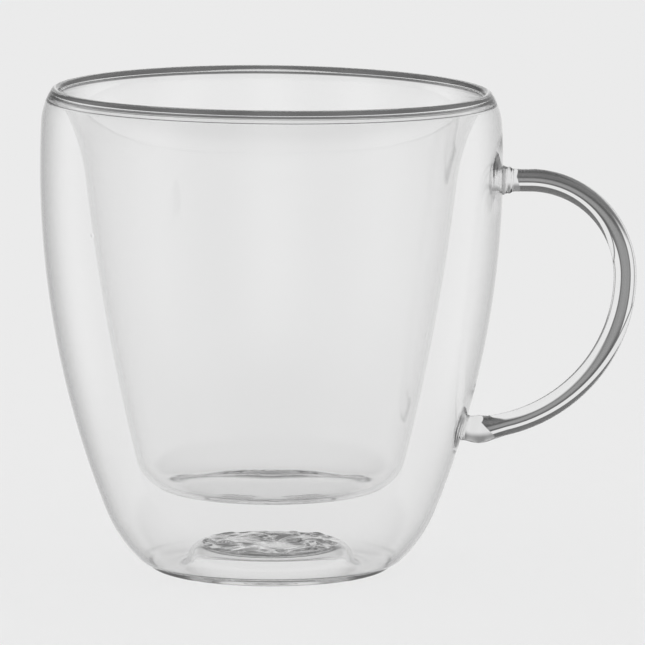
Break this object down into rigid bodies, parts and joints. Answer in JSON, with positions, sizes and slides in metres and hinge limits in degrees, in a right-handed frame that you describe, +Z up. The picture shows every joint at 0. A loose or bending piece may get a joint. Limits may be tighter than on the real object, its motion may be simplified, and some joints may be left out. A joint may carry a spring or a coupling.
{
  "type": "double walled glass cup",
  "caption": "Clear double walled glass mug: a rounded outer wall, a flared inner liner fused at a rounded lip with an air gap between, and a looped glass rod handle.",
  "frame": {"origin": "centre of the foot ring, on the surface that the cup stands on", "axes": "+Z up along the cup's axis, +X towards the handle"},
  "size_m": [0.12, 0.093, 0.098],
  "materials": {
    "wall_glass": "clear polished blown borosilicate glass",
    "rod_glass": "clear polished solid borosilicate rod"
  },
  "bodies": {
    "root": {"outer_bowl": "wall_glass", "inner_bowl": "wall_glass", "rim_bead": "wall_glass", "base_seal": "wall_glass", "handle_rod": "rod_glass", "handle_upper_weld": "rod_glass", "handle_lower_weld": "rod_glass"}
  },
  "joints": []
}
